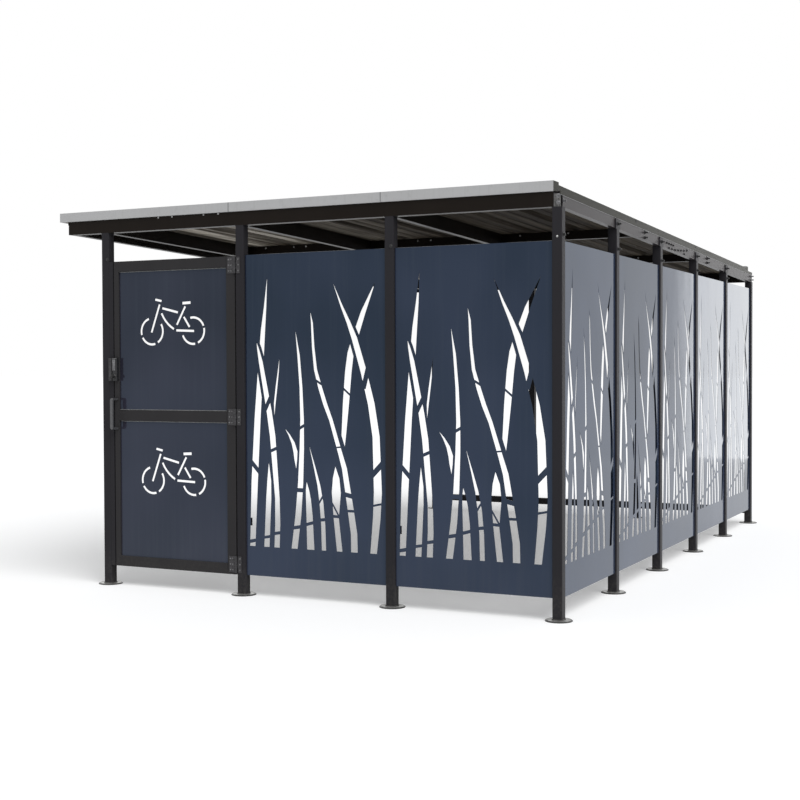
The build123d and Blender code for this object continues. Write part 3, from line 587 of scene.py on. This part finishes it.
def post_bolts():
    """One bolt near the head of three front posts and of each back post."""
    front_bolts = ((0.018, 2.182), (2.138, 2.182))
    bright_bolt = (3.188, 2.192)
    back_height = 2.150
    dark = bmesh.new()
    for x, z in front_bolts:
        hex_bolt(dark, (x, -HALF_POST, z), FRONT, HEAD_BOLT, x)
    for x, y in BACK_POSTS:
        hex_bolt(dark, (x, y + HALF_POST, back_height), BACK, HEAD_BOLT, x)
    finish_piece("post_bolts_dark", dark, "shelter", DARK_BOLT, BOLT_CREASE)
    bright = bmesh.new()
    hex_bolt(bright, (bright_bolt[0], -HALF_POST, bright_bolt[1]), FRONT, BRIGHT_HEAD_BOLT, 0.5)
    finish_piece("post_bolt_bright", bright, "shelter", BRIGHT_BOLT, BOLT_CREASE)


def fascia_screws():
    """Bright screws under the front strip, and a row along the top of both strips."""
    beam = faces("beam_front")
    drop = 0.0095
    end_margin = 0.12
    set_back = 0.004
    top_count = 11
    mesh = bmesh.new()
    for x in (0.436, 0.545, 0.791, 0.904):
        pan_screw(mesh, (x, beam.front, beam.top - drop), FRONT, STRIP_SCREW)
    for node, outward in (("fascia_front", -1), ("fascia_back", 1)):
        strip = faces(node)
        y = (strip.front + strip.back) / 2 - outward * set_back
        spacing = (strip.right - strip.left - 2 * end_margin) / (top_count - 1)
        for number in range(top_count):
            pan_screw(mesh, (strip.left + end_margin + number * spacing, y, strip.top), UP, STRIP_TOP_SCREW)
    finish_piece("fascia_screws", mesh, "shelter", BRIGHT_BOLT, BOLT_CREASE)


def fascia_seams():
    """Sealant in the two joints of the front strip, and a lapped edge beside each."""
    strip = faces("fascia_front")
    tall = strip.top - strip.bottom - 0.002
    middle = (strip.top + strip.bottom) / 2
    lap_shift = 0.0125
    sealant = bmesh.new()
    lap = bmesh.new()
    for x in SEAMS:
        slab(sealant, turned((x, strip.front, middle), FRONT), (0.0035, tall, 0.0006), 0.0002)
        slab(lap, turned((x + lap_shift, strip.front, middle), FRONT), (0.0210, tall, 0.0009), 0.0004)
    finish_piece("fascia_sealant", sealant, "shelter", RUBBER)
    finish_piece("fascia_laps", lap, "shelter", TRIM)


def fascia_ends():
    """Thin end caps that close the front and back strips at the roof's corners."""
    inside = 0.001
    mesh = bmesh.new()
    for node in ("fascia_front", "fascia_back"):
        strip = faces(node)
        y = (strip.front + strip.back) / 2
        z = (strip.bottom + strip.top) / 2
        size = (strip.back - strip.front - inside, strip.top - strip.bottom - inside, 0.0014)
        for x, outward in ((strip.right, RIGHT), (strip.left, LEFT)):
            slab(mesh, turned((x, y, z), outward), size, 0.0004)
    finish_piece("fascia_ends", mesh, "shelter", FLASHING)


def purlin_screws():
    """Bright screws in threes along the front of each purlin, under the roof."""
    purlins = faces("purlins")
    beam = faces("beam_front")
    drop = 0.016
    offsets = (0.162, 0.416, 0.524)
    mesh = bmesh.new()
    for y in (purlins.front, purlins.back - BAR_WIDTH):
        z = beam.top - FALL * (y - beam.back) - drop
        for bay in range(BAYS_WIDE):
            for offset in offsets:
                pan_screw(mesh, (bay * MODULE + offset, y, z), FRONT, PURLIN_SCREW)
    finish_piece("purlin_screws", mesh, "shelter", BRIGHT_BOLT, BOLT_CREASE)


def roof_screws():
    """Screws through the rib crests, in rows over the purlins and near both ends."""
    sheet = faces("roof_sheet")
    rows = (0.090, 1.770, 3.540, 5.220)
    pitch = 1.0 / 3.0
    ribs = 11
    margin = (sheet.right - sheet.left - (ribs - 1) * pitch) / 2
    flashing_sheet = 0.0015
    lean = Vector((0, math.sin(ROOF_SLOPE), math.cos(ROOF_SLOPE)))
    mesh = bmesh.new()
    for y in rows:
        for rib in range(ribs):
            # The side flashings lie over the outermost ribs
            cover = flashing_sheet if rib in (0, ribs - 1) else 0.0
            place = (sheet.left + margin + rib * pitch, y, fallen("roof_sheet", y) + cover)
            roof_screw(mesh, place, lean)
    finish_piece("roof_screws", mesh, "shelter", BRIGHT_BOLT, BOLT_CREASE)


def hinge_screws():
    """Screws in the leaves of the three hinges, on the door and on the post."""
    leaf = faces("hinges_door").left
    face = -HALF_POST - 0.003
    bottoms = (0.143, 1.087, 2.056)
    rows = (0.016, 0.052, 0.088)
    door_columns = (leaf + 0.010, leaf + 0.028)
    post_column = 1.053
    door = bmesh.new()
    post = bmesh.new()
    for bottom in bottoms:
        for row in rows:
            for x in door_columns:
                pan_screw(door, (x, face, bottom + row), FRONT, HINGE_SCREW)
            pan_screw(post, (post_column, face, bottom + row), FRONT, HINGE_SCREW)
    finish_piece("hinge_screws_door", door, "door", SCREW, BOLT_CREASE)
    finish_piece("hinge_screws_post", post, "shelter", SCREW, BOLT_CREASE)


def lock_details():
    """A lip, a pale keypad plate with blank buttons, and a black turning knob below it."""
    case = faces("lock_case")
    x = (case.left + case.right) / 2
    plate_x = x - 0.005
    plate_size = (0.022, 0.074, 0.0024)
    lip_size = (0.035, 0.004, 0.0030)
    button = [(0.0038, 0), (0.0038, 0.0014), (0.0030, 0.0022)]
    button_rows = 4
    row_pitch = 0.0155
    column_shift = 0.0052
    knob_outline = [(0.0165, 0), (0.0170, 0.004), (0.0155, 0.006), (0.0125, 0.009), (0.0120, 0.022),
                    (0.0105, 0.0245)]
    plate = bmesh.new()
    slab(plate, turned((plate_x, case.front, case.top - 0.046), FRONT), plate_size, 0.0010)
    for row in range(button_rows):
        for column in (-1, 1):
            place = (plate_x + column * column_shift, case.front - plate_size[2],
                     case.top - 0.022 - row * row_pitch)
            lathe(plate, turned(place, FRONT), button, 16)
    slab(plate, turned((x, case.front, case.top - 0.0035), FRONT), lip_size, 0.0008)
    finish_piece("lock_keypad", plate, "door", KEYPAD, BOLT_CREASE)
    knob = bmesh.new()
    centre = turned((x - 0.002, case.front, case.bottom + 0.030), FRONT)
    lathe(knob, centre, knob_outline, 28)
    slab(knob, centre @ Matrix.Translation((0, 0, knob_outline[-1][1])), (0.0050, 0.0180, 0.0040), 0.0010)
    finish_piece("lock_knob", knob, "door", RUBBER, BOLT_CREASE)


def keeper_screws():
    """Two screws in the front of the lock's keeper."""
    keeper = faces("lock_keeper")
    x = (keeper.left + keeper.right) / 2
    inset = 0.020
    mesh = bmesh.new()
    for z in (keeper.bottom + inset, keeper.top - inset):
        pan_screw(mesh, (x, keeper.front, z), FRONT, KEEPER_SCREW)
    finish_piece("keeper_screws", mesh, "shelter", HINGE, BOLT_CREASE)


def bead(mesh, sheet, z, radius):
    """A half round bead along the front of a sheet, from one end to the other."""
    steps = 6
    angles = [math.pi * step / steps for step in range(steps + 1)]
    arc = [(sheet.front - radius * math.sin(angle), z - radius * math.cos(angle)) for angle in angles]
    skin(mesh, [[mesh.verts.new((x, *point)) for point in arc] for x in (sheet.left, sheet.right)])


def sheet_beads():
    """Half round beads that close the joints between the door's sheets and its rails; their pale colour is a
    painted highlight along these edges.
    """
    upper = faces("door_upper_sheet")
    lower = faces("door_lower_sheet")
    thin = 0.0030
    thick = 0.0036
    mesh = bmesh.new()
    bead(mesh, upper, upper.top - thin, thin)
    bead(mesh, upper, upper.bottom + thick, thick)
    bead(mesh, lower, lower.top - thick, thick)
    finish_piece("sheet_beads", mesh, "door", HIGHLIGHT_BEAD, BEAD_CREASE)


def foot_path():
    """Points round a post's rounded square, with the way out from each, a quarter at a time."""
    corner = 0.005
    inner = HALF_POST - corner
    straight_steps = 14
    corner_steps = 3
    path = []
    for quarter in range(4):
        spin = Matrix.Rotation(math.pi / 2 * quarter, 2)
        for step in range(straight_steps):
            point = Vector((HALF_POST, -inner + 2 * inner * step / straight_steps))
            path.append((spin @ point, spin @ Vector((1, 0))))
        for step in range(corner_steps):
            angle = math.pi / 2 * step / corner_steps
            away = Vector((math.cos(angle), math.sin(angle)))
            path.append((spin @ (Vector((inner, inner)) + corner * away), spin @ away))
    return path


def foot_welds():
    """A rippled weld bead round the foot of every post."""
    reach = 0.0048
    overlap = 0.001
    angles = [math.radians(angle) for angle in (0, 25, 50, 75, 90)]
    mesh = bmesh.new()
    for x, y in FRONT_POSTS + SIDE_POSTS + BACK_POSTS:
        rings = []
        for number, (base, away) in enumerate(foot_path()):
            swell = 1.0 + 0.16 * math.sin(number * 2.1 + x * 9) + 0.08 * math.sin(number * 0.7 + y * 7)
            size = reach * swell
            section = [(size * math.cos(angle), size * math.sin(angle)) for angle in angles]
            section.append((-overlap, 0.0))
            centre = Vector((x, y)) + base
            rings.append([mesh.verts.new((*(centre + away * out), FOOT_TOP + rise)) for out, rise in section])
        for lower, upper in zip(rings, rings[1:] + rings[:1]):
            for side in range(len(lower)):
                after = (side + 1) % len(lower)
                mesh.faces.new((lower[side], lower[after], upper[after], upper[side]))
    finish_piece("foot_welds", mesh, "shelter", WELD, WELD_CREASE)


def angle_bracket(mesh, corner, along, outward):
    """A small bolted angle: one wing on the beam, one on the rafter."""
    thick = 0.004
    wing = 0.045
    size = (wing, 0.060, thick)
    bevel = 0.001
    off_centre = 0.004
    clear = 0.006
    beam_side = Vector(corner) + Vector((along * wing / 2, 0, 0))
    rafter_side = Vector(corner) + Vector((0, outward * wing / 2, 0))
    slab(mesh, turned(beam_side, (0, outward, 0)), size, bevel)
    hex_bolt(mesh, beam_side + Vector((along * off_centre, outward * thick, 0)), (0, outward, 0), ANGLE_BOLT,
             corner[0])
    slab(mesh, turned(rafter_side, (along, 0, 0)), size, bevel)
    hex_bolt(mesh, rafter_side + Vector((along * thick, outward * clear, 0)), (along, 0, 0), ANGLE_BOLT,
             corner[1])


def rafter_brackets():
    """Bolted angles between the rafters and both level beams, inside the roof frame."""
    front = faces("beam_front")
    back = faces("beam_back")
    left = faces("beam_left")
    rise = 0.045
    mesh = bmesh.new()
    for line in (MODULE, 2 * MODULE, (left.left + left.right) / 2):
        for along in (-1, 1):
            x = line + along * BAR_WIDTH / 2
            angle_bracket(mesh, (x, front.back, front.bottom + rise), along, 1)
            angle_bracket(mesh, (x, back.front, back.bottom + rise), along, -1)
    finish_piece("rafter_brackets", mesh, "shelter", FRAME, BOLT_CREASE)


def cleat_screws():
    """A screw in the wing of every panel angle, on the inside."""
    panel = faces("panel_front_1")
    rows = 3
    row_height = (panel.top - panel.bottom) / rows
    heights = [panel.bottom + row_height * (row + 0.5) for row in range(rows)]
    edge = 0.048
    front_wing = 0.015
    side_wing = WIDTH - 0.009
    mesh = bmesh.new()
    for bay in (1, 2):
        for offset in (edge, MODULE - edge):
            for z in heights:
                pan_screw(mesh, (bay * MODULE + offset, front_wing, z), BACK, PANEL_SCREW)
    for bay in range(BAYS_DEEP):
        for offset in (edge, MODULE - edge):
            for z in heights:
                pan_screw(mesh, (side_wing, bay * MODULE + offset, z), LEFT, PANEL_SCREW)
    finish_piece("cleat_screws", mesh, "shelter", BRIGHT_BOLT, BOLT_CREASE)


def rail_plates():
    """End plates of the low back rails, with a bolt each, on the outside."""
    rails = faces("rails_back")
    z = (rails.bottom + rails.top) / 2
    size = (0.040, 0.050, 0.004)
    mesh = bmesh.new()
    for bay in range(BAYS_WIDE):
        for x, along in ((bay * MODULE + HALF_POST, 1), ((bay + 1) * MODULE - HALF_POST, -1)):
            centre = Vector((x + along * size[0] / 2, rails.back, z))
            slab(mesh, turned(centre, BACK), size, 0.001)
            hex_bolt(mesh, centre + Vector((0, size[2], 0)), BACK, RAIL_BOLT, x)
    finish_piece("rail_plates", mesh, "shelter", FRAME, BOLT_CREASE)


def flashing_hems():
    """A thin strip on the outer beams under each side flashing, which ends in a pale bead."""
    flashing = faces("side_flashings")
    tall = 0.024
    thick = 0.0012
    rim = 0.0030
    length = (flashing.back - flashing.front - 0.010) / math.cos(ROOF_SLOPE)
    y = (flashing.front + flashing.back) / 2
    top = fallen("beam_right", y)
    hems = bmesh.new()
    rims = bmesh.new()
    for x, outward in ((faces("beam_right").right, RIGHT), (faces("beam_left_edge").left, LEFT)):
        tilt = Matrix.Rotation(-ROOF_SLOPE * outward[0], 4, "Z")
        slab(hems, turned((x, y, top - tall / 2), outward) @ tilt, (length, tall, thick), 0.0004)
        slab(rims, turned((x, y, top - tall - rim / 2), outward) @ tilt, (length, rim, 2 * thick), 0.0008)
    finish_piece("flashing_hems", hems, "shelter", FLASHING)
    finish_piece("flashing_beads", rims, "shelter", KEYPAD)


def flashing_joints():
    """Narrow cover strips over the joints of the side flashings."""
    flashing = faces("side_flashings")
    drop = 0.0208
    mesh = bmesh.new()
    for x, outward in ((flashing.right, RIGHT), (flashing.left, LEFT)):
        for y in (1.640, 3.322):
            tilt = Matrix.Rotation(ROOF_SLOPE * outward[0], 4, "Z")
            matrix = turned((x, y, fallen("side_flashings", y) - drop), outward) @ tilt
            slab(mesh, matrix, (0.030, 0.040, 0.0016), 0.0006)
    finish_piece("flashing_joints", mesh, "shelter", FRAME, BOLT_CREASE)


side_bolts()
corner_bolts()
post_bolts()
fascia_screws()
fascia_seams()
fascia_ends()
purlin_screws()
roof_screws()
hinge_screws()
lock_details()
keeper_screws()
sheet_beads()
foot_welds()
rafter_brackets()
cleat_screws()
rail_plates()
flashing_hems()
flashing_joints()


def add_camera():
    """The camera at the photograph's place, turned about its own axes."""
    lens = bpy.data.cameras.new("camera")
    lens.lens = CAMERA_LENS
    lens.clip_end = 400.0
    camera = bpy.data.objects.new("camera", lens)
    bpy.context.scene.collection.objects.link(camera)
    turn = Matrix.Rotation(math.radians(CAMERA_YAW), 4, "Z")
    tip = Matrix.Rotation(math.radians(90.0 + CAMERA_PITCH), 4, "X")
    roll = Matrix.Rotation(math.radians(CAMERA_ROLL), 4, "Z")
    camera.matrix_world = Matrix.Translation(CAMERA_PLACE) @ turn @ tip @ roll
    bpy.context.scene.camera = camera


def add_lamp(name, kind, place, aim, strength, **settings):
    """A lamp at a place, pointing at a spot."""
    lamp = bpy.data.lights.new(name, kind)
    lamp.energy = strength
    for setting, value in settings.items():
        setattr(lamp, setting, value)
    holder = bpy.data.objects.new(name, lamp)
    bpy.context.scene.collection.objects.link(holder)
    holder.location = place
    holder.rotation_euler = (Vector(aim) - Vector(place)).to_track_quat("-Z", "Y").to_euler()
    holder.visible_camera = False


def add_world():
    """Even pale light, and plain white where it is seen."""
    world = bpy.data.worlds.new("world")
    world.use_nodes = True
    bpy.context.scene.world = world
    sky = Graph(world.node_tree)
    sky.tree.nodes.remove(sky.tree.nodes["Background"])
    light = sky.node("ShaderNodeBackground", {}, 0, {"Color": (0.96, 0.98, 1.0, 1), "Strength": 0.45})
    white = sky.node("ShaderNodeBackground", {}, 0, {"Color": WHITE})
    sky.end("World Output", sky.node("ShaderNodeMixShader", {}, 0, {0: sky.seen(), 1: light, 2: white}))


def add_floor():
    """A wide pale floor that keeps the shelter's shadow and is white beyond it."""
    reach = 180.0
    glow_strength = 0.28
    corners = ((-reach, -reach, 0), (reach, -reach, 0), (reach, reach, 0), (-reach, reach, 0))
    pale = Finish("pale_floor", Roughness=0.9, Specular_IOR_Level=0.0, Base_Color=(0.8, 0.8, 0.8, 1))
    matt = Value(pale, pale.shader.outputs[0])
    glow = pale.node("ShaderNodeEmission", {}, 0, {"Strength": glow_strength})
    lifted = pale.node("ShaderNodeAddShader", {}, 0, {0: matt, 1: glow})
    pale.end("Material Output", pale.node("ShaderNodeMixShader", {}, 0, {0: pale.seen(), 1: matt, 2: lifted}))
    mesh = bmesh.new()
    mesh.faces.new([mesh.verts.new(corner) for corner in corners])
    data = bpy.data.meshes.new("floor")
    mesh.to_mesh(data)
    mesh.free()
    data.materials.append(pale.material)
    floor = bpy.data.objects.new("floor", data)
    bpy.context.scene.collection.objects.link(floor)


add_camera()
add_world()
add_floor()
add_lamp("overhead", "SUN", (5.5, -3.2, 7.7), (0, 0, 0), 2.26, angle=math.radians(50))
add_lamp("far_softbox", "AREA", (5.27, 14.0, 3.0), (5.27, 0.0, 3.0), 30.0, shape="RECTANGLE", size=1.34,
         size_y=6.0)
bpy.context.scene.view_settings.view_transform = "Standard"
